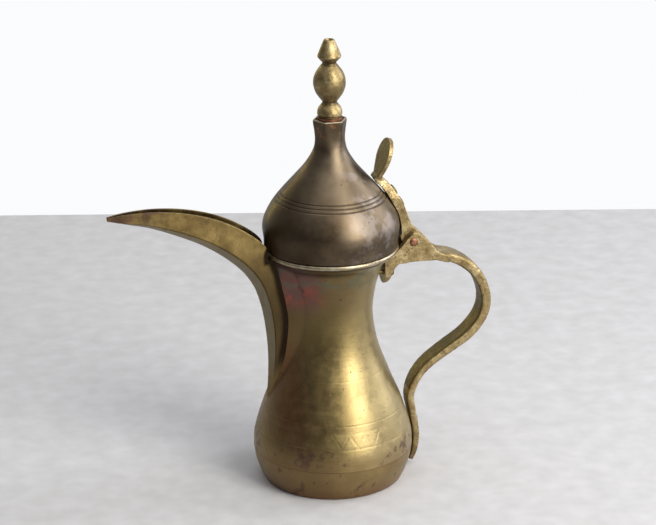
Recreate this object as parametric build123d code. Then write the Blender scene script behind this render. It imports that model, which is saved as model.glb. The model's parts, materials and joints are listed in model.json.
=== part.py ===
from build123d import *
import math
import os

# A dallah: a spouted, long-handled brass coffee pot with a hinged onion-dome lid.
# Millimetres. +Z is up, +X runs from the pot's axis towards the handle, and the spout points to -X.
# The origin is the centre of the flat base, on the surface that the pot stands on.

# ---- driving dimensions -----------------------------------------------------------------
total_height = 270.0
wall = 1.3                    # sheet thickness of the raised wall, measured across the radius
cup_wall = 1.6
foot_radius = 41.0            # edge of the flat base
seam_z = 20.0                 # where the raised wall is brazed to the base cup
belly_radius = 47.6
lip_radius = 37.4             # outside of the mouth's upright lip
lip_bottom_z = 142.2
ring_bottom_z = 143.0
ring_top_z = 146.0
ring_radius = 39.9
lid_gap = 0.3                 # running gap between the closed lid and the pot
dome_wall = 1.2
dome_bottom_z = ring_top_z + lid_gap
dome_edge_radius = 39.5
collar_radius = 35.6          # the lid's inner collar, which drops inside the lip
collar_bottom_z = 142.4
collar_wall = 1.0
neck_top_z = 223.0            # top edge of the lid's six-sided neck
cap_z = 220.0                 # underside of the plate that closes the neck
cap_thickness = 2.2
washer_thickness = 2.0
hinge_x = 48.0                # the hinge pin's axis, parallel to Y
hinge_z = 145.9
pin_radius = 1.6
pin_running_gap = 0.05
cheek_half_width = 9.0        # outside of the clevis cheeks
channel_half_width = 4.8      # half the slot between the cheeks
tongue_half_width = 4.5
strap_half_width = 8.0

os.makedirs("parts", exist_ok=True)


# ---- helpers ----------------------------------------------------------------------------
def turned(outline):
    """Solid turned about Z from a closed outline of edges drawn in the XZ plane."""
    return revolve(make_face(outline), Axis.Z)


def polyline(points):
    return [Line(a, b) for a, b in zip(points, points[1:])]


def flat(points):
    """(x, z) pairs as points in the XZ plane."""
    return [(x, 0, z) for x, z in points]


def side_plate(points, half_width):
    """A closed XZ outline of straight runs, extruded the same distance to both sides."""
    face = make_face(polyline(flat(points + points[:1])))
    return extrude(face, amount=half_width, dir=(0, 1, 0), both=True)


def cross_pin(x, z, radius, half_length):
    """A cylinder along Y, centred on the pot's middle plane."""
    return Pos(x, 0, z) * Rot(90, 0, 0) * Cylinder(radius, 2 * half_length)


def rivet(x, y, z, tilt, radius, length, head_radius, head_height, tail_radius, tail_height):
    """A rivet with its outer head's face at (x, y, z), pointing along +X turned up by tilt degrees."""
    shank = Pos(0, 0, -length / 2) * Cylinder(radius, length)
    tail = Pos(0, 0, -length + tail_height / 2) * Cylinder(tail_radius, tail_height)
    solid = shank + tail
    if head_height > 0:
        crown = Pos(0, 0, head_height / 2) * Cone(head_radius, head_radius * 0.55, head_height)
        solid = solid + crown
    return Pos(x, y, z) * Rot(0, 90 - tilt, 0) * solid


def largest(shape):
    return max(shape.solids(), key=lambda s: s.volume)


def save(shape, name):
    export_step(shape, f"parts/{name}.step")
    extent = shape.bounding_box().size
    print(name, round(extent.X, 1), round(extent.Y, 1), round(extent.Z, 1))


# ---- the raised wall --------------------------------------------------------------------
# Belly, long waist, and a flare to the mouth, as radius and height.
wall_profile = [
    (belly_radius, seam_z), (46.9, 30), (41.4, 48), (34.5, 65),
    (27.3, 85), (24.4, 104), (26.1, 120), (29.0, 130.5), (31.7, 136.8),
]


def wall_solid(shrink):
    """The filled wall, smaller all round by shrink, from the seam to the top of the lip."""
    spine = [(r - shrink, z) for r, z in wall_profile]
    lip = lip_radius - shrink
    curve = Spline(*flat(spine), tangents=[(0.05, 0, 1), (1, 0, 1)])
    flare = Line(flat(spine)[-1], (lip, 0, lip_bottom_z))
    upright = Line((lip, 0, lip_bottom_z), (lip, 0, ring_top_z))
    close = polyline([(lip, 0, ring_top_z), (0, 0, ring_top_z), (0, 0, seam_z), flat(spine)[0]])
    return turned([curve, flare, upright] + close)


# The wall is drawn out into a nose behind the spout. Each row is a height, how far
# the nose reaches from the axis, and its half width.
nose_length = 14.0
nose_rows = [
    (54, 35.5, 4.0), (66, 35.4, 6.0), (76, 35.0, 8.0), (86, 34.2, 10.0), (96, 33.6, 11.5),
    (106, 33.6, 12.0), (116, 34.6, 12.5), (126, 36.4, 13.0), (136, 38.0, 13.5),
]
nose_top_z = ring_bottom_z - 0.2


def nose_solid(shrink):
    rows = nose_rows + [(nose_top_z - shrink, 38.8, 14.0)]
    sections = []
    for z, reach, half_width in rows:
        ellipse = Ellipse(nose_length - shrink, half_width - shrink)
        sections.append(Pos(nose_length - reach, 0, z) * ellipse)
    return loft(sections)


wall_outside = wall_solid(0) + nose_solid(0)
body_wall = wall_outside - wall_solid(wall) - nose_solid(wall)

# Pouring holes pierced through the nose, which hold back the coffee grounds.
strainer_radius = 1.3
strainer_pitch_y = 4.4
strainer_pitch_z = 5.0
for row in range(7):
    for column in (-1, 0, 1):
        z = 92 + row * strainer_pitch_z
        y = column * strainer_pitch_y
        body_wall -= Pos(-35, y, z) * Rot(0, 90, 0) * Cylinder(strainer_radius, 14)

# ---- base cup ---------------------------------------------------------------------------
# The cup's edge steps in to a thin tongue that laps 3 mm up inside the raised wall.
turning_groove_radius = 30.0
turning_groove_depth = 0.5
lap_height = 3.0
lap_radius = belly_radius - wall - 0.1
cup_outer = Spline(
    *flat([(foot_radius, 0), (44.6, 6), (46.9, 13), (belly_radius, seam_z)]),
    tangents=[(0.75, 0, 1), (0.02, 0, 1)],
)
cup_inner = Spline(
    *flat([(foot_radius - 1.2, cup_wall), (43.0, 7), (45.2, 13), (lap_radius - 0.9, seam_z)]),
    tangents=[(0.75, 0, 1), (0.02, 0, 1)],
)
base_cup = turned(
    [cup_outer]
    + polyline(flat([
        (belly_radius, seam_z), (lap_radius, seam_z), (lap_radius - 0.1, seam_z + lap_height),
        (lap_radius - 0.9, seam_z + lap_height), (lap_radius - 0.9, seam_z),
    ]))
    + [cup_inner]
    + polyline(flat([
        (foot_radius - 1.2, cup_wall), (0, cup_wall), (0, 0), (turning_groove_radius, 0),
        (turning_groove_radius + 0.5, turning_groove_depth), (turning_groove_radius + 1.0, 0),
        (foot_radius, 0),
    ]))
)

# ---- mouth ring: a half-round wire soldered round the lip --------------------------------
ring_mid_z = (ring_bottom_z + ring_top_z) / 2
mouth_ring = turned(
    [
        ThreePointArc((lip_radius + 0.8, 0, ring_bottom_z), (ring_radius, 0, ring_mid_z),
                      (lip_radius + 0.8, 0, ring_top_z)),
    ]
    + polyline(flat([
        (lip_radius + 0.8, ring_top_z), (lip_radius, ring_top_z),
        (lip_radius, ring_bottom_z), (lip_radius + 0.8, ring_bottom_z),
    ]))
)

# ---- spout: one folded sheet, a keeled trough that is open along its top ------------------
# Each station is a slice across the trough: the keel point, the rim point (both x, z) and
# the half widths at the ridge and at the rim.
spout_sheet = 1.1
ridge_share = 0.25            # how far up the slice the ridge between keel face and flank lies
spout_stations = [
    ((-131.6, 171.4), (-131.8, 173.6), 1.8, 1.5),
    ((-121.0, 168.7), (-121.5, 175.2), 3.2, 2.6),
    ((-107.0, 165.2), (-105.0, 175.8), 4.6, 3.6),
    ((-91.4, 159.1), (-87.0, 173.8), 5.8, 4.6),
    ((-77.0, 152.2), (-70.0, 169.2), 6.9, 5.6),
    ((-64.2, 143.7), (-55.0, 162.0), 7.9, 6.8),
    ((-53.5, 134.0), (-42.0, 152.0), 8.7, 8.2),
    ((-46.8, 124.0), (-32.0, 136.5), 9.0, 9.4),
    ((-43.2, 113.8), (-27.0, 120.5), 8.8, 10.0),
    ((-41.0, 103.5), (-25.0, 104.8), 8.3, 9.8),
    ((-39.5, 91.0), (-25.0, 90.5), 7.4, 9.0),
    ((-38.9, 79.0), (-27.0, 76.5), 5.9, 7.6),
    ((-39.2, 66.0), (-30.0, 63.0), 3.9, 5.4),
    ((-40.2, 53.0), (-34.0, 50.0), 1.6, 2.2),
]


def trough(inset, lift):
    """The trough's slices lofted to one solid, pulled in by inset and raised past its rim by lift."""
    slices = []
    for (kx, kz), (tx, tz), ridge_half, rim_half in spout_stations:
        span = math.hypot(tx - kx, tz - kz)
        up_x, up_z = (tx - kx) / span, (tz - kz) / span
        keel = (kx + up_x * inset * 1.3, kz + up_z * inset * 1.3)
        ridge = (kx + up_x * span * ridge_share, kz + up_z * span * ridge_share)
        rim = (tx + up_x * lift, tz + up_z * lift)
        ridge_y = max(ridge_half - inset, 0.35)
        rim_y = max(rim_half - inset, 0.3)
        corners = [
            (keel[0], 0, keel[1]), (ridge[0], ridge_y, ridge[1]), (rim[0], rim_y, rim[1]),
            (rim[0], -rim_y, rim[1]), (ridge[0], -ridge_y, ridge[1]),
        ]
        slices.append(make_face(polyline(corners + corners[:1])))
    return loft(slices, ruled=True)


spout_lid_clearance = 0.8
lid_space = Pos(0, 0, nose_top_z) * Cylinder(
    ring_radius + spout_lid_clearance, 40, align=(Align.CENTER, Align.CENTER, Align.MIN)
)
spout = largest(trough(0, 0) - trough(spout_sheet, 4) - wall_outside - lid_space)

# ---- handle: one casting with a foot plate, a clevis head, a strap and a long tail --------
foot_x = 30.5                 # back face of the foot plate
foot_bottom_z = 119.3
head_outline = [
    (foot_x, foot_bottom_z), (32.3, foot_bottom_z), (34.8, 125.6), (36.9, 130.6), (38.9, 132.5),
    (48.5, 133.4), (62.2, 133.0), (69.5, 130.8), (72.0, 134.6), (65.8, 136.9), (62.6, 138.8),
    (60.4, 142.0), (57.0, 145.6), (54.2, 148.4), (51.8, 150.6), (50.0, 151.8), (48.0, 151.9),
    (46.4, 150.4), (39.9, 142.8), (foot_x, 138.2),
]
leaf_radius = 9.0
leaf_depth = 60.0             # longer than the head, so that the leaf only shapes its lower end
leaf_height = 50.0
leaf_x = foot_x + leaf_depth / 3
leaf_z = foot_bottom_z + leaf_radius
leaf = Pos(leaf_x, 0, leaf_z) * Rot(0, 90, 0) * Cylinder(leaf_radius, leaf_depth)
leaf += Pos(leaf_x, 0, leaf_z + leaf_height / 2) * Box(leaf_depth, 2 * cheek_half_width, leaf_height)
head = side_plate(head_outline, cheek_half_width) & leaf

# The strap's slices: middle (x, z), thickness and half width. It ends in a thin tail
# that lies against the belly.
tail_gap = 0.3
strap_slices = [
    ((64.6, 134.6), 5.4, 8.8), ((71.6, 133.2), 5.8, 8.2), ((79.6, 129.1), 6.3, 7.8),
    ((86.9, 122.6), 6.4, 7.6), ((91.5, 114.6), 6.4, 7.5), ((93.7, 105.6), 6.4, 7.4),
    ((92.7, 97.0), 6.4, 7.4), ((88.6, 89.3), 6.4, 7.4), ((81.9, 82.2), 6.3, 7.3),
    ((73.8, 76.7), 5.9, 7.2), ((65.6, 71.3), 5.6, 7.1), ((58.3, 65.9), 5.2, 7.0),
    ((52.6, 59.6), 5.0, 6.8), ((48.8, 52.2), 4.9, 6.5), ((47.3, 44.6), 4.8, 6.0),
    ((48.7, 35.6), 4.7, 5.5), ((50.2, 27.0), 4.7, 5.1), ((50.9, 18.4), 4.6, 4.8),
    ((49.9, 10.0), 4.2, 4.4), ((47.9, 3.6), 3.2, 3.6),
]


def strap_solid(slices):
    faces = []
    middles = [m for m, _, _ in slices]
    for i, ((x, z), thickness, half_width) in enumerate(slices):
        ahead = middles[min(i + 1, len(middles) - 1)]
        behind = middles[max(i - 1, 0)]
        run = math.hypot(ahead[0] - behind[0], ahead[1] - behind[1])
        nx, nz = -(ahead[1] - behind[1]) / run, (ahead[0] - behind[0]) / run
        half = thickness / 2
        bevel = thickness * 0.25
        corners = []
        for n, y in ((half, half_width - bevel), (half - bevel, half_width), (bevel - half, half_width),
                     (-half, half_width - bevel), (-half, bevel - half_width), (bevel - half, -half_width),
                     (half - bevel, -half_width), (half, bevel - half_width)):
            corners.append((x + nx * n, y, z + nz * n))
        faces.append(make_face(polyline(corners + corners[:1])))
    return loft(faces, ruled=True)


channel_floor_z = 137.0
channel = Pos(50, 0, channel_floor_z + 15) * Box(40, 2 * channel_half_width, 30)
belly_space = turned(polyline(flat([
    (0, 0), (foot_radius + tail_gap, 0), (43.6, 3.0), (45.4, 6.5), (46.9, 11.0), (47.6, 15.5),
    (belly_radius + 0.4, 20), (belly_radius + 0.4, 25), (47.4, 31), (45.9, 37), (43.0, 46), (0, 46), (0, 0),
])))
handle = head - channel + strap_solid(strap_slices)
handle = handle - channel - belly_space - wall_solid(0) - mouth_ring
handle = handle - turned(polyline(flat([
    (0, nose_top_z), (ring_radius + 0.4, nose_top_z), (ring_radius + 0.4, ring_top_z + 2),
    (0, ring_top_z + 2), (0, nose_top_z),
])))
handle -= cross_pin(hinge_x, hinge_z, pin_radius, 20)

# ---- hinge pin: a copper rivet peened over both cheeks ------------------------------------
pin_head_radius = 2.5
pin_head_height = 0.9
hinge_pin = cross_pin(hinge_x, hinge_z, pin_radius, cheek_half_width)
for side in (-1, 1):
    head_y = side * (cheek_half_width + pin_head_height / 2)
    cap = Pos(hinge_x, head_y, hinge_z) * Rot(-90 * side, 0, 0)
    hinge_pin += cap * Cone(pin_head_radius, pin_head_radius * 0.72, pin_head_height)

# ---- rivets that hold the handle ----------------------------------------------------------
foot_rivet_z = 127.5
foot_rivets = []
for side in (-1, 1):
    foot_rivets.append(rivet(36.0, side * 4.6, foot_rivet_z, 0, 1.4, 10.6, 2.5, 1.0, 2.4, 1.0))
foot_plate_rivets = Compound(children=foot_rivets)
tail_rivet_list = [
    rivet(53.6, 0, 29.0, 0, 1.4, 9.2, 0, 0, 2.4, 0.8),
    rivet(53.6, 0, 13.5, 0, 1.4, 9.6, 0, 0, 2.4, 0.8),
]
tail_space = strap_solid(strap_slices)
tail_rivet_list = [largest(r - (Pos(57.0, 0, 20) * Box(12, 20, 50) - tail_space)) for r in tail_rivet_list]
tail_rivets = Compound(children=tail_rivet_list)
for pin in foot_rivets + tail_rivet_list:
    handle -= pin
    body_wall -= pin
    base_cup -= pin
handle = largest(handle)
body_wall = largest(body_wall)

# ---- lid dome: raised from one sheet, ending in a six-sided neck ---------------------------
dome_profile = [
    (dome_edge_radius, dome_bottom_z), (39.6, 151.7), (40.3, 157.7), (39.2, 163.7), (35.1, 171.7),
    (29.0, 179.7), (21.9, 187.7), (15.1, 195.7), (10.3, 203.7), (9.0, 209.7), (9.2, 215.7),
    (10.0, neck_top_z - 2.0),
]
# Distance of the neck's six flats from the axis; below the neck they lie outside the dome.
neck_flare_z = neck_top_z - 2.0
neck_flat_top = 8.9           # distance of each flat from the axis at the neck's top
flat_profile = [
    (16.0, 198.0), (10.6, 204.5), (8.5, 208.5), (8.1, 212.0), (8.3, 216.0), (neck_flat_top, neck_flare_z),
]


def dome_solid(shrink, bottom_z):
    spine = [(r - shrink, z) for r, z in dome_profile]
    spine[0] = (spine[0][0], bottom_z)
    top = spine[-1][0]
    curve = Spline(*flat(spine))
    close = [(top, neck_flare_z), (top, neck_top_z), (0, neck_top_z), (0, bottom_z), spine[0]]
    round_dome = turned([curve] + polyline(flat(close)))
    spine = [(d - shrink, z) for d, z in flat_profile]
    side = Spline(*flat(spine))
    rim = spine[-1][0]
    reach = 60
    outline = [side] + polyline(flat([
        (rim, neck_flare_z), (rim, neck_top_z + 1), (-reach, neck_top_z + 1), (-reach, bottom_z - 1),
        (reach, bottom_z - 1), (reach, spine[0][1]), spine[0],
    ]))
    slab = extrude(make_face(outline), amount=reach, dir=(0, 1, 0), both=True)
    for k in range(6):
        round_dome = round_dome & (Rot(0, 0, 30 + 60 * k) * slab)
    return round_dome


lid_dome = dome_solid(0, dome_bottom_z) - dome_solid(dome_wall, dome_bottom_z - 0.5)

# ---- lid collar: a ring with a turned-out flange, soldered inside the dome's edge -----------
flange_top_z = dome_bottom_z + 1.2
flange_bottom_z = flange_top_z - collar_wall
flange_radius = dome_edge_radius - dome_wall - 0.05
collar_inner_radius = collar_radius - collar_wall
lid_collar = turned(polyline(flat([
    (collar_radius, collar_bottom_z), (collar_radius, flange_bottom_z), (flange_radius, flange_bottom_z),
    (flange_radius, flange_top_z), (collar_inner_radius, flange_top_z),
    (collar_inner_radius, collar_bottom_z), (collar_radius, collar_bottom_z),
])))
lid_collar = lid_collar - lid_dome

# ---- neck cap, copper washer, finial and its stud ------------------------------------------
cap_flat = neck_flat_top - dome_wall - 0.02
stud_radius = 2.0
bore_length = 600            # past the whole pot both ways, so that it cuts right through
cap_top_z = cap_z + cap_thickness
finial_z = cap_top_z + washer_thickness
cap_outline = RegularPolygon(cap_flat, 6, major_radius=False, rotation=0)
neck_cap = Pos(0, 0, cap_z) * extrude(cap_outline, cap_thickness)
neck_cap = neck_cap - lid_dome - Cylinder(stud_radius, bore_length)
washer_radius = 7.3
finial_washer = Pos(0, 0, cap_top_z + washer_thickness / 2) * Cylinder(washer_radius, washer_thickness)
finial_washer -= Cylinder(stud_radius, bore_length)

finial = turned(
    polyline(flat([(0, finial_z), (6.5, finial_z), (6.5, finial_z + 0.9), (7.4, finial_z + 1.7)]))
    + [
        ThreePointArc((7.4, 0, finial_z + 1.7), (7.35, 0, 227.6), (6.7, 0, 229.7)),
        Spline(*flat([(6.7, 229.7), (4.35, 233.0), (7.2, 236.9)]), tangents=[(-0.75, 0, 1), (0.65, 0, 1)]),
        Spline(*flat([(7.2, 236.9), (9.55, 244.9), (7.2, 252.4)]), tangents=[(0.6, 0, 1), (-0.75, 0, 1)]),
        Spline(*flat([(7.2, 252.4), (4.15, 256.3), (6.9, 259.8)]), tangents=[(-0.8, 0, 1), (1.4, 0, 1)]),
    ]
    + polyline(flat([
        (6.9, 259.8), (6.9, 260.7), (3.1, total_height), (2.2, total_height), (1.8, total_height - 1.6),
        (0, total_height - 2.0), (0, finial_z),
    ]))
)
stud_top_z = 238.0
rove_bottom_z = 217.3
rove_thickness = cap_z - rove_bottom_z
peened_height = 1.4           # the stud's lower end, spread over the rove
peened_radius = 3.4
stud_bottom_z = rove_bottom_z - peened_height
stud_length = stud_top_z - stud_bottom_z
finial_stud = Pos(0, 0, stud_bottom_z + stud_length / 2) * Cylinder(stud_radius, stud_length)
finial_stud += Pos(0, 0, stud_bottom_z + peened_height / 2) * Cylinder(peened_radius, peened_height)
rove_radius = 4.8
rove_middle_z = cap_z - rove_thickness / 2
stud_rove = Pos(0, 0, rove_middle_z) * Cylinder(rove_radius, rove_thickness)
stud_rove -= Cylinder(stud_radius, bore_length)
finial -= finial_stud

# ---- lid strap: hinge tongue, curved strap and thumb disc in one casting -------------------
strap_outline = [
    (40.6, 149.6), (40.6, 152.0), (40.4, 157.0), (39.6, 161.6), (37.6, 166.8), (34.8, 172.2),
    (31.8, 177.0), (28.2, 181.6), (25.0, 185.2), (26.4, 187.2), (30.2, 186.0), (36.2, 179.6),
    (40.4, 172.8), (43.0, 167.8), (44.6, 163.2), (46.8, 157.6), (46.4, 153.8), (43.8, 152.9),
]
tongue_outline = [
    (40.6, 149.6), (40.4, 157.0), (46.8, 157.6), (49.7, 153.6), (52.7, 150.0), (53.9, 146.5),
    (53.3, 143.3), (50.9, 140.7), (47.8, 139.9), (44.6, 140.9), (42.6, 143.6), (41.6, 146.5),
]
disc_lean = math.radians(19.4)
disc_radius = 10.9
disc_thickness = 2.8
disc_middle = (31.0, 0, 198.2)
disc_neck_radius = 4.2
disc_neck_drop = 13.4
neck_half_width = 4.8
# One side of the strap seen along X, as (y, z): it narrows to the disc's neck.
strap_front = [
    (strap_half_width, 130), (strap_half_width, 173.5), (neck_half_width, 184.0), (neck_half_width, 190.0),
]
strap_front += [(-y, z) for y, z in reversed(strap_front)]
front_face = make_face(polyline([(0, y, z) for y, z in strap_front + strap_front[:1]]))
lid_strap = side_plate(strap_outline, strap_half_width) & extrude(front_face, amount=80, dir=(1, 0, 0))
lid_strap += side_plate(tongue_outline, tongue_half_width)
disc_plane = Plane(disc_middle, x_dir=(0, 1, 0), z_dir=(math.cos(disc_lean), 0, -math.sin(disc_lean)))
disc_outline = make_hull(
    Circle(disc_radius).edges() + (Pos(0, -disc_neck_drop) * Circle(disc_neck_radius)).edges()
)
lid_strap += disc_plane * extrude(disc_outline, disc_thickness)
dome_seat = dome_solid(-0.4, dome_bottom_z - 2)
lid_strap = lid_strap - dome_seat - cross_pin(hinge_x, hinge_z, pin_radius + pin_running_gap, 20)
cheek_sweep_radius = 7.0      # the strap's shoulders stop here, clear of the cheeks as the lid turns
cheek_sweep = Pos(hinge_x, 0, hinge_z) * Rot(90, 0, 0) * Cylinder(cheek_sweep_radius, 40)
sides_of_tongue = Box(400, 40, 400) - Box(400, 2 * tongue_half_width, 400)
lid_strap = largest(lid_strap - (cheek_sweep & (Pos(hinge_x, 0, hinge_z) * sides_of_tongue)))

# ---- rivets that hold the strap to the dome -------------------------------------------------
strap_rivet_list = [
    rivet(38.3, 0, 176.8, 32, 1.7, 9.0, 3.4, 0.9, 2.8, 0.9),
    rivet(42.6, 0, 169.2, 27, 1.7, 8.0, 3.4, 0.9, 2.8, 0.9),
]
strap_rivets = Compound(children=strap_rivet_list)
for pin in strap_rivet_list:
    lid_strap -= pin
    lid_dome -= pin
lid_strap = largest(lid_strap)
lid_dome = largest(lid_dome)

# ---- one file per piece ---------------------------------------------------------------------
pieces = {
    "body_wall": body_wall, "base_cup": base_cup, "mouth_ring": mouth_ring, "spout": spout,
    "handle": handle, "hinge_pin": hinge_pin, "foot_plate_rivets": foot_plate_rivets,
    "tail_rivets": tail_rivets, "lid_dome": lid_dome, "lid_collar": lid_collar,
    "neck_cap": neck_cap, "finial_washer": finial_washer, "finial": finial,
    "finial_stud": finial_stud, "stud_rove": stud_rove, "lid_strap": lid_strap,
    "strap_rivets": strap_rivets,
}
for name, shape in pieces.items():
    save(shape, name)
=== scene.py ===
# %% [markdown]
# # A brass dallah
# A dallah is a spouted Arabic coffee pot, raised by hand from sheet brass. The imported part gives every
# place and size as a fixed frame, and this lesson builds the looks around it: the worn sheet, the pitted
# castings and the dark lid. The finished model's size is printed at the end.

# %% Load the frame
import json
import math
import bmesh
import bpy
import numpy as np
from mathutils import Matrix, Vector, noise


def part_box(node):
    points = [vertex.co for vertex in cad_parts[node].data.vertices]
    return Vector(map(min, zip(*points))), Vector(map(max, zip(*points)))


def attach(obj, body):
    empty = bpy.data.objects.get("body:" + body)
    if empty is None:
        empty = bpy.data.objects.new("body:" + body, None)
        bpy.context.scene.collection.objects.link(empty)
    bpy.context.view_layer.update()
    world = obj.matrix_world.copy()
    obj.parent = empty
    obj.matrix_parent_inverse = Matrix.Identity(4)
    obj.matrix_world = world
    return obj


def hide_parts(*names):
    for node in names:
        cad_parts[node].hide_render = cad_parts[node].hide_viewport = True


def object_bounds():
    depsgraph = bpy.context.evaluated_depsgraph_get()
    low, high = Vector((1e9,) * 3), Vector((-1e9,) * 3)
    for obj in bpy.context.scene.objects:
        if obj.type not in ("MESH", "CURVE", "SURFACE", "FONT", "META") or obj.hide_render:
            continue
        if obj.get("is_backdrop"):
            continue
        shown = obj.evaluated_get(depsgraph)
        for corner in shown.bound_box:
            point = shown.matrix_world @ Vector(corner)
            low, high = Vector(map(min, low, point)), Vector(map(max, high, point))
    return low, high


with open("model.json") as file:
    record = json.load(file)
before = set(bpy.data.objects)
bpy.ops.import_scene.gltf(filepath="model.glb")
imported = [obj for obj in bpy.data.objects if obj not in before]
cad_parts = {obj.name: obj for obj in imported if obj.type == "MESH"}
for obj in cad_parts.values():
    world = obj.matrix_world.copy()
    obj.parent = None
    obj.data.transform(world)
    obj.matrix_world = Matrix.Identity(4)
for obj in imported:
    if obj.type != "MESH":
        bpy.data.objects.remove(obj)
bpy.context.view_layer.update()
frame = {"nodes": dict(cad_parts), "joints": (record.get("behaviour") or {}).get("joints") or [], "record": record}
MM = 0.001
nodes = frame["nodes"]
hinge = frame["joints"][0]["pos_m"]

# %% [markdown]
# ## Shared tools
# Most of the pot is turned or lofted: rows of points joined to the next row. One function joins rows of any
# shape, so a lid with a six-sided neck is made the same way as a round cup. Doing it in mesh code, rather
# than with a Screw modifier, lets each row follow its own rule.


# %% Rows of points to a mesh
def finish_mesh(name, mesh, body, replaced, material, sharp=38.0):
    """Links a mesh as a smooth-shaded piece that rides on its body and stands for its nodes."""
    mesh.shade_smooth()
    mesh.set_sharp_from_angle(angle=math.radians(sharp))
    mesh.materials.clear()
    mesh.materials.append(material)
    piece = bpy.data.objects.new(name, mesh)
    bpy.context.scene.collection.objects.link(piece)
    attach(piece, body)
    for node in replaced:
        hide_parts(node)
    print(name, len(mesh.polygons), "faces")


def rows_to_mesh(name, rows, loop=False):
    """Joins rows of points, in mm, into a closed skin. A row of one point is a pole."""
    mesh_builder = bmesh.new()
    made = [[mesh_builder.verts.new([c * MM for c in point]) for point in row] for row in rows]
    pairs = list(zip(made, made[1:])) + ([(made[-1], made[0])] if loop else [])
    for low, high in pairs:
        count = max(len(low), len(high))
        for j in range(count):
            k = (j + 1) % count
            if len(low) == 1:
                mesh_builder.faces.new((low[0], high[k], high[j]))
            elif len(high) == 1:
                mesh_builder.faces.new((low[j], low[k], high[0]))
            else:
                mesh_builder.faces.new((low[j], low[k], high[k], high[j]))
    bmesh.ops.recalc_face_normals(mesh_builder, faces=mesh_builder.faces)
    mesh = bpy.data.meshes.new(name)
    mesh_builder.to_mesh(mesh)
    mesh_builder.free()
    return mesh


def through(points, steps):
    """A smooth line through given points: a Catmull-Rom curve, in as many dimensions as they have."""
    p = np.array(points, float)
    p = np.vstack([2 * p[0] - p[1], p, 2 * p[-1] - p[-2]])
    line = []
    for i in range(1, len(p) - 2):
        a, b, c, d = p[i - 1:i + 3]
        for t in np.linspace(0, 1, steps, endpoint=False):
            line.append(0.5 * (2 * b + (c - a) * t + (2 * a - 5 * b + 4 * c - d) * t ** 2
                               + (3 * b - a - 3 * c + d) * t ** 3))
    line.append(p[-2])
    return np.array(line)


def ring_row(radius_at, z, columns):
    """One row round the axis, where the radius may depend on the angle."""
    row = []
    for j in range(columns):
        angle = 2 * math.pi * j / columns
        r = radius_at(angle, z)
        row.append((r * math.cos(angle), r * math.sin(angle), z))
    return row


def groove(z, middle, half_width, depth):
    """How deep a scribed line is at a height."""
    return depth * max(0.0, 1 - ((z - middle) / half_width) ** 2)
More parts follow.
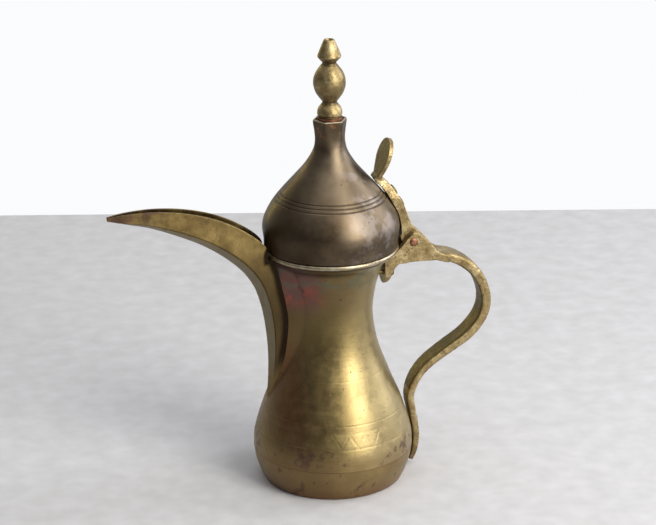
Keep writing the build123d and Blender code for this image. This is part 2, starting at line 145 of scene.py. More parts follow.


# %% [markdown]
# ## Metal
# Old brass is one metal under many skins: polish on the bellies, brown in the hollows, heat colours near
# solder, and pits where acid coffee sat. Each finish here is a bare metal whose colour wanders between
# three tones, with stains laid over it by noise, by height and by side, and painted highlight and shade
# by side. The patterns read Object coordinates in millimetres, so a stain stays put on the piece from
# every side.


# %% A small kit for building finishes
class Finish:
    """A procedural metal: tones mixed by noise, stains laid over by mask, and a bump from the same noise."""

    def __init__(self, name, tones, rough=(0.26, 0.46), metallic=1.0, tone_scale=0.045):
        self.material = bpy.data.materials.new(name)
        self.material.use_nodes = True
        self.tree = self.material.node_tree
        self.tree.nodes.clear()
        self.out = self.node("ShaderNodeOutputMaterial")
        self.shader = self.node("ShaderNodeBsdfPrincipled")
        self.link(self.shader.outputs[0], self.out.inputs[0])
        self.shader.inputs["Metallic"].default_value = metallic
        coordinates = self.node("ShaderNodeTexCoord")
        self.place = self.node("ShaderNodeMapping")
        self.place.inputs["Scale"].default_value = (1 / MM, 1 / MM, 1 / MM)
        self.link(coordinates.outputs["Object"], self.place.inputs[0])
        self.split = self.node("ShaderNodeSeparateXYZ")
        self.link(self.place.outputs[0], self.split.inputs[0])
        patches = self.noise(tone_scale, 6, 0.62)
        self.colour = self.ramp(patches, [(0.34, tones[0]), (0.52, tones[1]), (0.68, tones[2])])
        wear = self.noise(tone_scale * 4, 5, 0.6)
        self.roughness = self.span(wear, 0.3, 0.7, rough[0], rough[1])
        self.height = None

    def node(self, kind):
        return self.tree.nodes.new(kind)

    def link(self, a, b):
        self.tree.links.new(a, b)

    def mark(self, name):
        """A value that the mesh carries on its points."""
        reader = self.node("ShaderNodeAttribute")
        reader.attribute_name = name
        return reader.outputs["Fac"]

    def stretched(self, scale):
        """The same coordinates drawn out along some axes."""
        mapping = self.node("ShaderNodeMapping")
        mapping.inputs["Scale"].default_value = scale
        self.link(self.place.outputs[0], mapping.inputs[0])
        return mapping.outputs[0]

    def noise(self, scale, detail=4, rough=0.55, at=None):
        texture = self.node("ShaderNodeTexNoise")
        texture.inputs["Scale"].default_value = scale
        texture.inputs["Detail"].default_value = detail
        texture.inputs["Roughness"].default_value = rough
        self.link(at or self.place.outputs[0], texture.inputs["Vector"])
        return texture.outputs["Fac"]

    def ramp(self, fac, stops):
        ramp = self.node("ShaderNodeValToRGB")
        elements = ramp.color_ramp.elements
        while len(elements) < len(stops):
            elements.new(0.5)
        for element, (position, colour) in zip(elements, stops):
            element.position = position
            element.color = (*colour, 1)
        self.link(fac, ramp.inputs[0])
        return ramp.outputs[0]

    def span(self, value, low, high, to_low=0.0, to_high=1.0):
        """A value's stretch from low to high, eased onto another stretch."""
        change = self.node("ShaderNodeMapRange")
        change.interpolation_type = "SMOOTHSTEP"
        for name, number in (("From Min", low), ("From Max", high), ("To Min", to_low), ("To Max", to_high)):
            change.inputs[name].default_value = number
        self.link(value, change.inputs["Value"])
        return change.outputs[0]

    def maths(self, kind, a, b):
        step = self.node("ShaderNodeMath")
        step.operation = kind
        for socket, value in zip(step.inputs, (a, b)):
            if isinstance(value, (int, float)):
                socket.default_value = value
            else:
                self.link(value, socket)
        return step.outputs[0]

    def both(self, *masks):
        result = masks[0]
        for mask in masks[1:]:
            result = self.maths("MULTIPLY", result, mask)
        return result

    def band(self, axis, low, high, soft):
        """One between two places along an axis, fading over the soft distance."""
        value = self.split.outputs["XYZ".index(axis)]
        rising = self.span(value, low - soft, low + soft)
        falling = self.span(value, high - soft, high + soft, 1.0, 0.0)
        return self.both(rising, falling)

    def stain(self, mask, colour, strength=1.0, rougher=0.0):
        """Lays a colour over the metal where the mask is."""
        amount = self.maths("MULTIPLY", mask, strength)
        mix = self.node("ShaderNodeMix")
        mix.data_type = "RGBA"
        self.link(amount, mix.inputs["Factor"])
        self.link(self.colour, mix.inputs[6])
        mix.inputs[7].default_value = (*colour, 1)
        self.colour = mix.outputs[2]
        if rougher:
            self.roughness = self.maths("ADD", self.roughness, self.maths("MULTIPLY", amount, rougher))

    def raise_by(self, value, amount):
        """Adds to the bump's height, in mm."""
        part = self.maths("MULTIPLY", value, amount)
        self.height = part if self.height is None else self.maths("ADD", self.height, part)

    def pits(self, scale, cover, depth, colour, strength=0.8):
        """Small corroded pits: the high peaks of a fine noise."""
        spots = self.span(self.noise(scale, 3, 0.5), cover, cover + 0.06)
        self.stain(spots, colour, strength, 0.15)
        self.raise_by(spots, -depth)

    def done(self):
        self.link(self.colour, self.shader.inputs["Base Color"])
        self.link(self.roughness, self.shader.inputs["Roughness"])
        if self.height is not None:
            bump = self.node("ShaderNodeBump")
            bump.inputs["Distance"].default_value = MM
            bump.inputs["Strength"].default_value = 0.8
            self.link(self.height, bump.inputs["Height"])
            self.link(bump.outputs[0], self.shader.inputs["Normal"])
        return self.material


# %% [markdown]
# ## The pot's sheet brass
# The wall was burnished round and round, which leaves faint level lines, so its noise is squeezed along Z.
# The torch that soldered the spout left rose, purple, orange and teal on the neck beside it. Those tints
# are masks by height and side, broken up by noise, because a hard-edged tint looks painted.

# %% The raised wall's finish
HEAT_ROSE = (0.34, 0.085, 0.05)
HEAT_PURPLE = (0.17, 0.075, 0.085)
HEAT_ORANGE = (0.36, 0.14, 0.04)
HEAT_TEAL = (0.10, 0.15, 0.11)
UMBER = (0.085, 0.05, 0.024)
OLIVE = (0.085, 0.065, 0.024)
PURPLE_BROWN = (0.085, 0.045, 0.04)
SOLDER_AND_SHADOW_BLACK = (0.018, 0.012, 0.008)
HIGHLIGHT_CREAM = (0.44, 0.36, 0.20)
NECK_SHADE = (0.11, 0.072, 0.04)
SEAM_RUST = (0.17, 0.07, 0.035)
BASE_TINT = (0.24, 0.15, 0.075)
SHEET_ROUGHNESS = (0.34, 0.47)
SHEET_TONES = [(0.225, 0.165, 0.066), (0.295, 0.222, 0.092), (0.36, 0.275, 0.12)]


def raised_brass():
    f = Finish("burnished brass", SHEET_TONES, SHEET_ROUGHNESS)
    lines = f.noise(0.5, 4, 0.6, f.stretched((0.10, 0.10, 2.6)))
    f.stain(f.span(lines, 0.54, 0.74), UMBER, 0.30)
    f.raise_by(lines, 0.05)
    # Painted shade: the wall is darker on the spout's side, where the room is dark to the front left.
    f.stain(f.band("X", -48, -14, 15), UMBER, 0.72)
    # Painted highlight: the wall is paler on the handle's side, where the front-right softbox shines.
    f.stain(f.band("X", 10, 60, 16), HIGHLIGHT_CREAM, 0.50)
    f.stain(f.both(f.band("X", -20, 9, 9), f.band("Z", 84, 118, 12)), OLIVE, 0.45)
    f.stain(f.both(f.band("Z", 112, 141, 12), f.band("X", -40, 14, 14)), NECK_SHADE, 0.62)
    broken = f.span(f.noise(0.12, 5, 0.6), 0.42, 0.60)
    f.stain(f.both(f.band("X", -40, -24, 6), f.band("Z", 38, 92, 14)), SEAM_RUST, 0.50)
    side = f.both(f.band("X", -40, -12, 6), f.band("Y", -30, -4, 6))
    f.stain(f.both(side, f.band("Z", 112, 146, 8)), HEAT_PURPLE, 0.55)
    f.stain(f.both(side, f.band("Z", 116, 130, 6), broken), HEAT_ROSE, 0.62)
    edge = f.band("X", -36, -29.5, 1.6)
    f.stain(f.both(edge, f.band("Z", 94, 122, 8), f.span(lines, 0.35, 0.55)), HEAT_ORANGE, 0.75)
    cool = f.span(f.noise(0.13, 4, 0.5, f.stretched((1, 1, 1.4))), 0.46, 0.62)
    f.stain(f.both(f.band("Z", 126, 141, 6), cool), HEAT_TEAL, 0.40)
    low = f.band("Z", 21, 32, 4)
    f.stain(f.both(low, f.span(f.noise(0.085, 7, 0.68), 0.53, 0.62)), PURPLE_BROWN, 0.80, 0.10)
    eaten = f.both(f.band("Z", 23, 33, 3), f.band("X", -27, -4, 5),
                   f.span(f.noise(0.16, 7, 0.7), 0.48, 0.58))
    f.stain(eaten, PURPLE_BROWN, 0.80, 0.10)
    f.stain(f.band("Z", 10, 26, 9), BASE_TINT, 0.40)
    # Painted shadow: a dark line on the lip under the overhanging mouth ring.
    f.stain(f.band("Z", 141.4, 144, 0.7), SOLDER_AND_SHADOW_BLACK, 0.75)
    f.pits(0.55, 0.675, 0.10, PURPLE_BROWN)
    f.raise_by(f.noise(0.35, 4, 0.5), 0.06)
    return f.done()


# %% [markdown]
# ## The cup and the spout
# The cup is more coppery than the wall near its foot, where it stood in hot ash, and a little more pitted
# all over. The spout is browner, with a dark line along its solder, painted shadow in the crease where it
# meets the wall, and a paler fold. Height alone can't follow that fold, so its mesh carries two marks on
# its points, keel and seam, and the finish reads them.

# %% The finishes of the cup and the spout
FOOT_COPPER = (0.25, 0.115, 0.055)
TIP_PURPLE = (0.12, 0.055, 0.055)
THROAT_SHADE = (0.072, 0.048, 0.022)
BROWN_CLOUD = (0.11, 0.075, 0.035)
PALE_FOLD = (0.23, 0.20, 0.125)
LOW_END = (0.17, 0.115, 0.048)


def cup_brass():
    f = Finish("coppery cup brass", SHEET_TONES, SHEET_ROUGHNESS)
    # Painted shade: the cup is darker on the spout's side, where the room is dark to the front left.
    f.stain(f.band("X", -48, -14, 15), UMBER, 0.60)
    f.stain(f.band("Z", -10, 26, 9), BASE_TINT, 0.40)
    f.stain(f.band("Z", -6, 5, 7), FOOT_COPPER, 0.50)
    f.stain(f.span(f.noise(0.085, 7, 0.68), 0.565, 0.65), PURPLE_BROWN, 0.60, 0.10)
    f.pits(0.5, 0.665, 0.12, PURPLE_BROWN)
    f.raise_by(f.noise(0.35, 4, 0.5), 0.06)
    return f.done()


def spout_brass():
    f = Finish("spout brass", [(0.17, 0.115, 0.042), (0.25, 0.175, 0.066), (0.36, 0.26, 0.10)],
               (0.34, 0.48))
    tip = f.both(f.band("X", -133, -100, 8), f.span(f.noise(0.10, 4, 0.5), 0.42, 0.58))
    f.stain(tip, TIP_PURPLE, 0.65)
    f.stain(f.band("Z", 40, 138, 18), THROAT_SHADE, 0.88)
    f.stain(f.span(f.noise(0.06, 6, 0.65), 0.50, 0.62), BROWN_CLOUD, 0.45)
    keel, seam = f.mark("keel"), f.mark("seam")
    f.stain(f.span(keel, 0.49, 0.53), PALE_FOLD, 0.60)
    f.stain(f.both(f.span(keel, 0.40, 0.46), f.span(keel, 0.47, 0.52, 1.0, 0.0)), SOLDER_AND_SHADOW_BLACK, 0.60)
    f.stain(f.band("Z", 30, 72, 9), LOW_END, 0.75)
    # A dark solder line, and painted shadow in the crease where the spout meets the wall.
    f.stain(f.both(f.span(seam, 0.0, 0.55), f.band("Z", 76, 200, 9)), SOLDER_AND_SHADOW_BLACK, 0.94, 0.2)
    f.pits(0.6, 0.67, 0.08, UMBER)
    f.raise_by(f.noise(0.3, 4, 0.5), 0.07)
    return f.done()


# %% [markdown]
# ## The lid's dark skin
# The lid is rarely rubbed, so it keeps a brown patina, with painted shade on the side toward the spout, a
# painted grey highlight on the side toward the handle, and dirt in its turned lines. The lines' heights are
# named here, because the dome's shape needs them too.

# %% The lid's finish
RING_LINES = (175.4, 177.4, 179.2)
LINE_DIRT_HALF = 0.22
LID_SOOT = (0.035, 0.025, 0.018)
LID_SHADE = (0.045, 0.03, 0.017)
PAINTED_HIGHLIGHT_GREY = (0.27, 0.23, 0.205)
LID_SPECKLE = (0.045, 0.032, 0.022)
LINE_DIRT = (0.02, 0.014, 0.01)
SOLDER_ORANGE = (0.32, 0.15, 0.06)
PAINTED_EDGE_HIGHLIGHT = (0.42, 0.36, 0.26)
LID_PITS = (0.03, 0.02, 0.015)


def dome_bronze():
    f = Finish("lid patina", [(0.085, 0.059, 0.035), (0.122, 0.092, 0.06), (0.165, 0.13, 0.09)],
               (0.36, 0.48), tone_scale=0.03)
    f.stain(f.both(f.band("Z", 140, 158, 9), f.span(f.noise(0.05, 4, 0.5), 0.40, 0.62)),
            LID_SOOT, 0.65)
    # Painted shade on the lid's side toward the spout, and a painted grey highlight in patches toward the handle.
    f.stain(f.band("X", -46, -14, 14), LID_SHADE, 0.65)
    highlight_patches = f.both(f.band("X", 8, 42, 12), f.span(f.noise(0.10, 5, 0.6), 0.46, 0.62))
    f.stain(highlight_patches, PAINTED_HIGHLIGHT_GREY, 0.62, 0.08)
    speckle = f.both(f.band("Z", 146, 160, 5), f.span(f.noise(0.35, 6, 0.7), 0.54, 0.66))
    f.stain(speckle, LID_SPECKLE, 0.55, 0.06)
    for line in RING_LINES:
        f.stain(f.band("Z", line - LINE_DIRT_HALF, line + LINE_DIRT_HALF, 0.15), LINE_DIRT, 0.65)
    solder = f.both(f.band("Z", 211, 222, 2), f.span(f.noise(0.22, 4, 0.6), 0.56, 0.64))
    f.stain(solder, SOLDER_ORANGE, 0.55)
    # Painted highlight: a bright line round the top edge of the lid's neck.
    f.stain(f.band("Z", 222.5, 224, 0.2), PAINTED_EDGE_HIGHLIGHT, 0.75)
    f.pits(0.5, 0.69, 0.06, LID_PITS)
    f.raise_by(f.noise(0.25, 4, 0.5), 0.05)
    return f.done()


# %% [markdown]
# ## The castings, the ring and the rivets
# The handle, strap and finial were cast in sand: paler metal, grainy all over, with small dark pits. Faces
# that look into the grip or at the pot and the lid get painted shade, as do the rivets, and the mesh marks
# those on its points. One function makes every cast finish, since they differ only in tone, pits and
# grain. The ring is rubbed pale; the pin is copper.

# %% The other finishes
INNER_SHADE = (0.085, 0.066, 0.013)
CAST_BROWN = (0.13, 0.095, 0.045)
CAST_PITS = (0.10, 0.07, 0.035)
GROOVE_DIRT = (0.05, 0.034, 0.018)


def cast_metal(name, tones, pit_cover=0.60, grain=0.16, dark_bands=()):
    f = Finish(name, tones, (0.36, 0.56), tone_scale=0.11)
    # Painted shade where the mesh marks it: faces inside the grip or toward the pot and lid, and the rivets.
    f.stain(f.mark("painted_shade"), INNER_SHADE, 0.85)
    f.stain(f.span(f.noise(0.35, 6, 0.68), 0.54, 0.66), CAST_BROWN, 0.70, 0.12)
    f.pits(1.1, pit_cover, 0.14, CAST_PITS, 0.7)
    for low, high in dark_bands:
        f.stain(f.band("Z", low, high, 0.7), GROOVE_DIRT, 0.62)
    f.raise_by(f.noise(1.2, 5, 0.65), grain)
    return f.done()


def ring_brass():
    f = Finish("worn ring wire", [(0.23, 0.185, 0.11), (0.36, 0.30, 0.205), (0.48, 0.42, 0.31)],
               (0.26, 0.40), tone_scale=0.2)
    f.raise_by(f.noise(0.9, 4, 0.5), 0.05)
    return f.done()


def copper():
    f = Finish("rivet copper", [(0.16, 0.068, 0.04), (0.25, 0.115, 0.07), (0.35, 0.185, 0.12)],
               (0.36, 0.55), tone_scale=0.4)
    f.raise_by(f.noise(1.5, 4, 0.5), 0.08)
    return f.done()


FINIAL_GROOVES = ((223.0, 225.2), (231.8, 234.0), (255.2, 257.4))
FINISHES = {
    "raised_brass": raised_brass(), "cup_brass": cup_brass(), "spout_brass": spout_brass(),
    "dome_bronze": dome_bronze(), "ring_brass": ring_brass(), "copper": copper(),
    "cast_brass": cast_metal("cast brass", [(0.21, 0.15, 0.065), (0.35, 0.265, 0.13), (0.52, 0.42, 0.235)]),
    "finial_brass": cast_metal("finial brass", [(0.16, 0.115, 0.052), (0.27, 0.205, 0.098),
                                                (0.41, 0.33, 0.17)], 0.66, 0.08, FINIAL_GROOVES),
    "collar_brass": cast_metal("unpolished brass", [(0.14, 0.09, 0.045), (0.26, 0.18, 0.09),
                                                    (0.36, 0.26, 0.13)], 0.68, 0.06),
    "stud_brass": cast_metal("turned brass", [(0.26, 0.19, 0.08), (0.38, 0.28, 0.12), (0.48, 0.36, 0.16)],
                             0.70, 0.04),
}
print(len(FINISHES), "finishes made")

# %% [markdown]
# ## The raised wall
# The wall swells to a belly, draws in to a waist and flares to the lip. Behind the spout it was hammered
# out into a nose, so it isn't round there. The radius is therefore a rule of angle and height: a round
# wall and an oval nose, blended so that they meet in a soft hollow. A band of plain chevrons, a motif of
# this lesson's own, is pressed into the belly and worn away in places.

# %% Build the wall
WALL_COLUMNS = 480
WALL = 1.3
LIP_RADIUS = 37.4
NOSE_LENGTH = 14.0
seam_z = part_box("body_wall")[0].z / MM
lip_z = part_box("body_wall")[1].z / MM
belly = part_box("body_wall")[1].y / MM
wall_line = through([(belly, seam_z), (46.9, 30), (41.4, 48), (34.5, 65), (27.3, 85), (24.4, 104),
                     (26.1, 120), (29.0, 130.5), (31.7, 136.8), (36.6, 141.2), (LIP_RADIUS, 143.6),
                     (LIP_RADIUS, lip_z)], 10)
nose_line = through([(54, 35.5, 4.0), (66, 35.4, 6.0), (86, 34.2, 10.0), (106, 33.6, 12.0),
                     (126, 36.4, 13.0), (142, 38.4, 13.8)], 10)
CHEVRON_COUNT = 28
BAND_Z = (34.0, 42.0)
CUT_DEPTH = 0.13
STROKE_HALF = 0.9
EDGE_LINE_GAP = 0.4
LINE_HALF = 0.5
SCRIBED_LINES = ((46.6, 0.06), (71.0, 0.05))
NOSE_SOFTNESS = 7.0
NOSE_TOP = lip_z - 3.2
NOSE_FADE = 4.0


def round_radius(z):
    return float(np.interp(z, wall_line[:, 1], wall_line[:, 0]))


def nose_radius(angle, z):
    """How far the oval nose reaches in a direction from the axis, or nothing."""
    if z < nose_line[0, 0] or math.cos(angle) > 0:
        return 0.0
    reach, half = (float(np.interp(z, nose_line[:, 0], nose_line[:, k])) for k in (1, 2))
    centre, length = NOSE_LENGTH - reach, NOSE_LENGTH
    ux, uy = math.cos(angle), math.sin(angle)
    a = (ux / length) ** 2 + (uy / half) ** 2
    b = -2 * ux * centre / length ** 2
    c = (centre / length) ** 2 - 1
    disc = b * b - 4 * a * c
    return (-b + math.sqrt(disc)) / (2 * a) if disc > 0 else 0.0


def chevron_cut(angle, z):
    """The depth of the worn chevron band."""
    low, high = BAND_Z
    if not low - 1 < z < high + 1:
        return 0.0
    across = abs(((angle / (2 * math.pi) * CHEVRON_COUNT) % 1) * 2 - 1)
    stroke = max(0.0, 1 - (((z - low) - across * (high - low)) / STROKE_HALF) ** 2)
    edges = max(groove(z, line, LINE_HALF, 1.0) for line in (low - EDGE_LINE_GAP, high + EDGE_LINE_GAP))
    wear = 0.45 + 0.8 * noise.noise(Vector((3 * math.cos(angle), 3 * math.sin(angle), z * 0.12)))
    return CUT_DEPTH * max(stroke, edges) * min(1.0, max(0.0, wear))


def wall_radius(angle, z):
    """The wall's radius: the round wall and the nose, softly joined, less what is cut into them."""
    a, b = round_radius(z), nose_radius(angle, z)
    if b > 0:
        fade = min(1.0, max(0.0, (NOSE_TOP - z) / NOSE_FADE))
        h = max(NOSE_SOFTNESS - abs(a - b), 0.0) / NOSE_SOFTNESS
        a += (max(a, b) + h * h * NOSE_SOFTNESS * 0.25 - a) * fade
    scribed = sum(groove(z, line, LINE_HALF, depth) for line, depth in SCRIBED_LINES)
    return a - scribed - chevron_cut(angle, z)


line_rows = [np.arange(line - 0.8, line + 0.9, 0.25) for line, depth in SCRIBED_LINES]
outer_z = sorted(set(np.round(np.concatenate([
    np.linspace(seam_z, lip_z, 74), np.arange(BAND_Z[0] - 1, BAND_Z[1] + 1, 0.5), *line_rows]), 3)))
inner_z = np.linspace(lip_z, seam_z + 0.1, 30)
wall_rows = [ring_row(wall_radius, z, WALL_COLUMNS) for z in outer_z]
wall_rows += [ring_row(lambda a, z: wall_radius(a, z) - WALL, z, WALL_COLUMNS) for z in inner_z]
wall_mesh = rows_to_mesh("wall", wall_rows, loop=True)
print("the wall has", len(wall_rows), "rows of", WALL_COLUMNS)

# %% [markdown]
# ## Pins on points
# The strainer's holes, the rivets and the hinge pin are all round pins set at chosen places, some with
# heads. That is a job for Geometry Nodes: loose points that know which way they face, with one pin
# instanced on each. The helpers here make a tree, run it on a mesh and bring back a plain mesh.


# %% Geometry Nodes helpers
def geometry_tree(name, inputs):
    """A node tree with named inputs. Returns the tree, its group input and its group output."""
    tree = bpy.data.node_groups.new(name, "GeometryNodeTree")
    tree.interface.new_socket("Geometry", in_out="INPUT", socket_type="NodeSocketGeometry")
    for label, kind, default in inputs:
        socket = tree.interface.new_socket(label, in_out="INPUT", socket_type=kind)
        if default is not None:
            socket.default_value = default
    tree.interface.new_socket("Geometry", in_out="OUTPUT", socket_type="NodeSocketGeometry")
    return tree, tree.nodes.new("NodeGroupInput"), tree.nodes.new("NodeGroupOutput")


def send_out(tree, geometry, given, result):
    """The last nodes of a tree: the geometry made real, painted with the given metal and sent out."""
    solid = tree.nodes.new("GeometryNodeRealizeInstances")
    paint = tree.nodes.new("GeometryNodeSetMaterial")
    tree.links.new(geometry, solid.inputs[0])
    tree.links.new(solid.outputs[0], paint.inputs["Geometry"])
    tree.links.new(given.outputs["Metal"], paint.inputs["Material"])
    tree.links.new(paint.outputs[0], result.inputs["Geometry"])


def grown(name, tree, settings, base=None):
    """Runs a tree on a base mesh and returns the result as a plain mesh, with the modifier gone."""
    holder = bpy.data.objects.new(name + "_maker", base or bpy.data.meshes.new(name))
    bpy.context.scene.collection.objects.link(holder)
    modifier = holder.modifiers.new("grow", "NODES")
    modifier.node_group = tree
    for item in tree.interface.items_tree:
        if item.in_out == "INPUT" and item.name in settings:
            modifier[item.identifier] = settings[item.name]
    seen = holder.evaluated_get(bpy.context.evaluated_depsgraph_get())
    mesh = bpy.data.meshes.new_from_object(seen)
    bpy.data.objects.remove(holder)
    mesh.name = name
    return mesh


def point_mesh(name, points, directions):
    """Loose points, in mm, that carry the direction each one faces."""
    mesh = bpy.data.meshes.new(name)
    mesh.from_pydata([[c * MM for c in p] for p in points], [], [])
    facing = mesh.attributes.new("facing", "FLOAT_VECTOR", "POINT")
    for item, direction in zip(facing.data, directions):
        item.vector = direction
    return mesh


def studs_tree(name, round_head):
    """A headed pin on every point: a shank, a head at the point, and a second head at its far end."""
    tree, given, result = geometry_tree(name, [
        ("Head Radius", "NodeSocketFloat", 0.003), ("Head Height", "NodeSocketFloat", 0.001),
        ("Shank Radius", "NodeSocketFloat", 0.0015), ("Length", "NodeSocketFloat", 0.008),
        ("Metal", "NodeSocketMaterial", None)])
    new, link = tree.nodes.new, tree.links.new
    parts = new("GeometryNodeJoinGeometry")
    shank = new("GeometryNodeMeshCylinder")
    shank.inputs["Vertices"].default_value = 32
    link(given.outputs["Shank Radius"], shank.inputs["Radius"])
    link(given.outputs["Length"], shank.inputs["Depth"])
    half = new("ShaderNodeMath")
    half.operation = "MULTIPLY"
    half.inputs[1].default_value = -0.5
    link(given.outputs["Length"], half.inputs[0])
    drop = new("ShaderNodeCombineXYZ")
    link(half.outputs[0], drop.inputs["Z"])
    lower = new("GeometryNodeTransform")
    link(shank.outputs["Mesh"], lower.inputs["Geometry"])
    link(drop.outputs[0], lower.inputs["Translation"])
    link(lower.outputs[0], parts.inputs[0])
    if round_head:
        squashed = new("ShaderNodeCombineXYZ")
        for axis in "XY":
            link(given.outputs["Head Radius"], squashed.inputs[axis])
        link(given.outputs["Head Height"], squashed.inputs["Z"])
        for far in (False, True):
            ball = new("GeometryNodeMeshUVSphere")
            ball.inputs["Segments"].default_value = 40
            ball.inputs["Rings"].default_value = 20
            ball.inputs["Radius"].default_value = 1.0
            shape = new("GeometryNodeTransform")
            link(ball.outputs["Mesh"], shape.inputs["Geometry"])
            link(squashed.outputs[0], shape.inputs["Scale"])
            if far:
                whole = new("ShaderNodeVectorMath")
                whole.operation = "SCALE"
                whole.inputs["Scale"].default_value = 2.0
                link(drop.outputs[0], whole.inputs[0])
                link(whole.outputs[0], shape.inputs["Translation"])
            link(shape.outputs[0], parts.inputs[0])
    facing = new("GeometryNodeInputNamedAttribute")
    facing.data_type = "FLOAT_VECTOR"
    facing.inputs["Name"].default_value = "facing"
    turn = new("FunctionNodeAlignRotationToVector")
    turn.axis = "Z"
    link(facing.outputs["Attribute"], turn.inputs["Vector"])
    place = new("GeometryNodeInstanceOnPoints")
    link(given.outputs["Geometry"], place.inputs["Points"])
    link(parts.outputs[0], place.inputs["Instance"])
    link(turn.outputs[0], place.inputs["Rotation"])
    send_out(tree, place.outputs[0], given, result)
    return tree


plain_pins = studs_tree("plain pins", False)
headed_pins = studs_tree("headed pins", True)
print("two pin trees made")

# %% [markdown]
# ## Strainer holes
# Coffee reaches the spout through rows of holes that hold back the grounds. They could be drawn into the
# wall's rows, but a Boolean with one cutter of plain pins leaves the rows regular and the holes round.

# %% Cut the strainer holes
HOLE_RADIUS = 1.3
HOLE_COLUMNS = (-4.4, 0.0, 4.4)
HOLE_ROWS = [92 + 5.0 * row for row in range(7)]
CUTTER_END = -28
CUTTER_LENGTH = 14
hole_points = [(CUTTER_END, y, z) for z in HOLE_ROWS for y in HOLE_COLUMNS]
cutter_mesh = grown("strainer_cutter", plain_pins, {
    "Shank Radius": HOLE_RADIUS * MM, "Length": CUTTER_LENGTH * MM, "Metal": FINISHES["raised_brass"]},
    point_mesh("hole points", hole_points, [(1, 0, 0)] * len(hole_points)))
print(len(hole_points), "strainer holes")


def boolean(mesh, cutter):
    """The mesh with another cut from it, as a plain mesh."""
    a = bpy.data.objects.new("cut_a", mesh)
    b = bpy.data.objects.new("cut_b", cutter)
    for o in (a, b):
        bpy.context.scene.collection.objects.link(o)
    modifier = a.modifiers.new("cut", "BOOLEAN")
    modifier.object = b
    modifier.operation = "DIFFERENCE"
    modifier.solver = "EXACT"
    seen = a.evaluated_get(bpy.context.evaluated_depsgraph_get())
    result = bpy.data.meshes.new_from_object(seen)
    for o in (a, b):
        bpy.data.objects.remove(o)
    return result


wall_mesh = boolean(wall_mesh, cutter_mesh)
finish_mesh("raised_wall", wall_mesh, "pot", ["body_wall"], FINISHES["raised_brass"])

# %% [markdown]
# ## The base cup
# The cup was raised apart and brazed to the wall, with its edge lapped inside. It is round everywhere, so
# it is turned from one closed outline of radius and height, with the wall's thickness drawn in.


# %% Build the base cup
def turned(name, outline, columns, loop):
    rows = []
    for r, z in outline:
        rows.append([(0, 0, z)] if r <= 0 else ring_row(lambda a, h, r=r: r, z, columns))
    return rows_to_mesh(name, rows, loop)


FOOT = 41.0
CUP_WALL = 1.6
LAP_HEIGHT = 3
cup_side = through([(FOOT + 0.9, 0.9), (44.3, 6), (46.6, 13), (belly, seam_z - 0.15)], 8)
cup_outline = [(0, 0), (30.0, 0), (30.5, 0.5), (31.0, 0), (FOOT - 0.6, 0), (FOOT + 0.3, 0.25)]
cup_outline += [tuple(p) for p in cup_side]
cup_outline += [(belly - 1.4, seam_z), (belly - 1.5, seam_z + LAP_HEIGHT),
                (belly - 2.3, seam_z + LAP_HEIGHT)]
cup_outline += [(r - CUP_WALL, max(z, CUP_WALL)) for r, z in reversed(cup_side)]
cup_outline += [(FOOT - 1.5, CUP_WALL), (0, CUP_WALL)]
finish_mesh("cup", turned("cup", cup_outline, 240, False), "pot", ["base_cup"],
            FINISHES["cup_brass"])

# %% [markdown]
# ## The mouth ring
# A wire was soldered round the lip to stiffen it. A torus would do, but a section swept along a circle by
# Geometry Nodes keeps the wire, the ring and its height as three separate inputs.


# %% Sweep the mouth ring
def swept_ring_tree():
    tree, given, result = geometry_tree("wire round a lip", [
        ("Ring Radius", "NodeSocketFloat", 0.0385), ("Wire Radius", "NodeSocketFloat", 0.0014),
        ("Height", "NodeSocketFloat", 0.1445), ("Metal", "NodeSocketMaterial", None)])
    new, link = tree.nodes.new, tree.links.new
    path = new("GeometryNodeCurvePrimitiveCircle")
    path.inputs["Resolution"].default_value = 240
    section = new("GeometryNodeCurvePrimitiveCircle")
    section.inputs["Resolution"].default_value = 20
    sweep = new("GeometryNodeCurveToMesh")
    link(given.outputs["Ring Radius"], path.inputs["Radius"])
    link(given.outputs["Wire Radius"], section.inputs["Radius"])
    link(path.outputs[0], sweep.inputs["Curve"])
    link(section.outputs[0], sweep.inputs["Profile Curve"])
    up = new("ShaderNodeCombineXYZ")
    link(given.outputs["Height"], up.inputs["Z"])
    lift = new("GeometryNodeTransform")
    link(sweep.outputs[0], lift.inputs["Geometry"])
    link(up.outputs[0], lift.inputs["Translation"])
    send_out(tree, lift.outputs[0], given, result)
    return tree


ring_low, ring_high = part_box("mouth_ring")
wire = (ring_high.z - ring_low.z) / 2
WORN_SHARE = 0.97
ring_mesh = grown("mouth_wire", swept_ring_tree(), {
    "Ring Radius": ring_high.x - wire, "Wire Radius": wire * WORN_SHARE,
    "Height": (ring_high.z + ring_low.z) / 2, "Metal": FINISHES["ring_brass"]})
finish_mesh("mouth_wire", ring_mesh, "pot", ["mouth_ring"], FINISHES["ring_brass"])

# %% [markdown]
# ## The spout
# One sheet folded into an open beak: a keel below, a ridge along each side and a free rim above. Slices
# across it are joined in order, each cut off where it would enter the wall, and Solidify gives the sheet
# its thickness. The keel and seam marks are left on its points for the finish.

